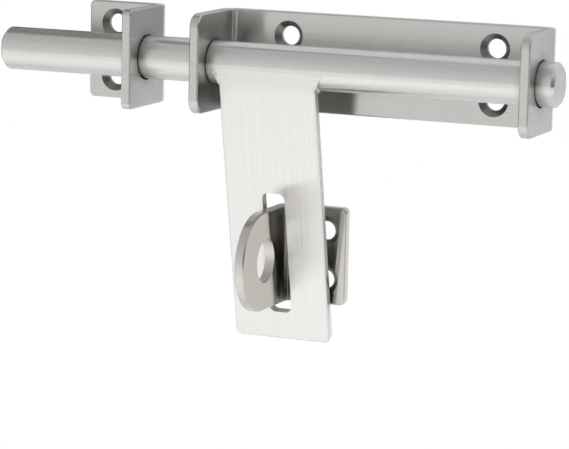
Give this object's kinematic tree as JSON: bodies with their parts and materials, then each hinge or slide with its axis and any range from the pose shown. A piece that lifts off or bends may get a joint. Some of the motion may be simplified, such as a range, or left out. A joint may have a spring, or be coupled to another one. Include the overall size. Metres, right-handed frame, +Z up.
{
  "type": "gate latch",
  "caption": "Sliding round gate bolt in a folded bracket, with a slotted hasp handle that closes over a padlock staple and a keeper for the post.",
  "frame": {"origin": "centre of the main bracket's four screw holes, on its back face", "axes": "+X along the bolt, away from the keeper; +Y into the gate; +Z up"},
  "size_m": [0.19, 0.0401, 0.107],
  "materials": {
    "bracket_steel": "satin, brushed along the strip",
    "staple_steel": "satin, brushed across the tab",
    "bolt_steel": "satin, turned and brushed",
    "handle_steel": "satin, brushed along its length"
  },
  "bodies": {
    "fixed": {"main_bracket": "bracket_steel", "keeper_bracket": "bracket_steel", "staple_bracket": "staple_steel"},
    "bolt": {"bolt_rod": "bolt_steel"},
    "handle": {"handle_plate": "handle_steel"}
  },
  "joints": [
    {"name": "bolt_slide", "type": "slide", "parent": "fixed", "child": "bolt", "axis": [1, 0, 0], "range_m": [-0.0012, 0.0005]},
    {"name": "handle_swing", "type": "hinge", "parent": "bolt", "child": "handle", "pos_m": [-0.0341, -0.0173, 0], "axis": [-1, 0, 0], "range_deg": [0, 195]}
  ]
}
